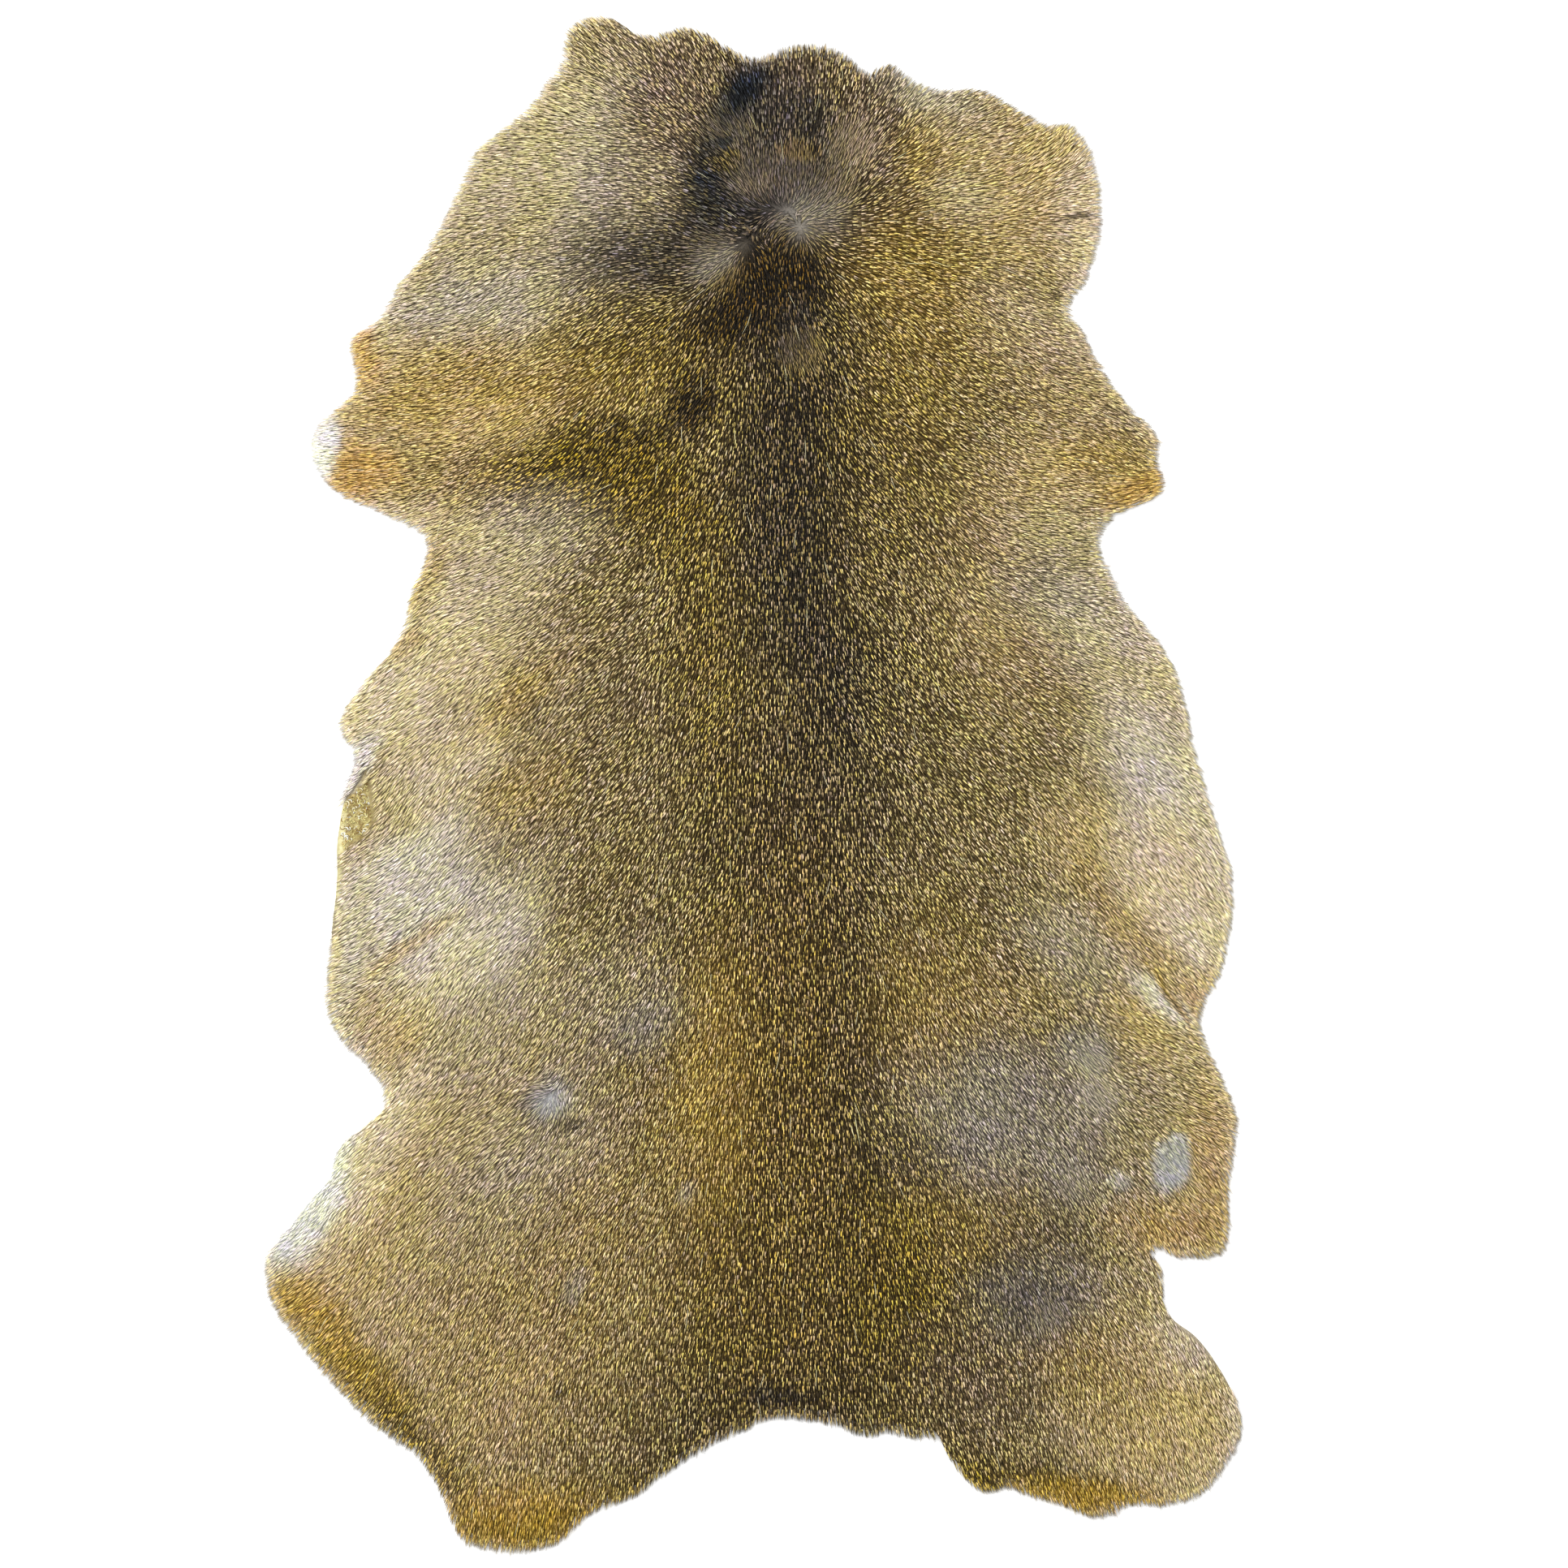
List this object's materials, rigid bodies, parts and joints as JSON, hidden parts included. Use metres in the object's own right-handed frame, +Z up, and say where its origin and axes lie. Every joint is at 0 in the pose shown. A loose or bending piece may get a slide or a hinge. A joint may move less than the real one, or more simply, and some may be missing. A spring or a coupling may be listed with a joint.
{
  "type": "deerhide rug",
  "caption": "Tanned deerhide with its short hair on, cut in its natural outline and lying flat as a rug, hair up.",
  "frame": {"origin": "on the floor under the middle of the hide's box, on the flesh side", "axes": "+Y along the back towards the neck edge, +Z up out of the hair, +X to the right seen from above with the neck away from the viewer"},
  "size_m": [0.7248, 1.1372, 0.0108],
  "materials": {
    "hair": "short olive-brown agouti deer hair, darker along the back and pale at the edges, soft sheen",
    "skin": "pale tanned suede flesh side, matt"
  },
  "bodies": {
    "root": {"hide": "hair"}
  },
  "joints": []
}
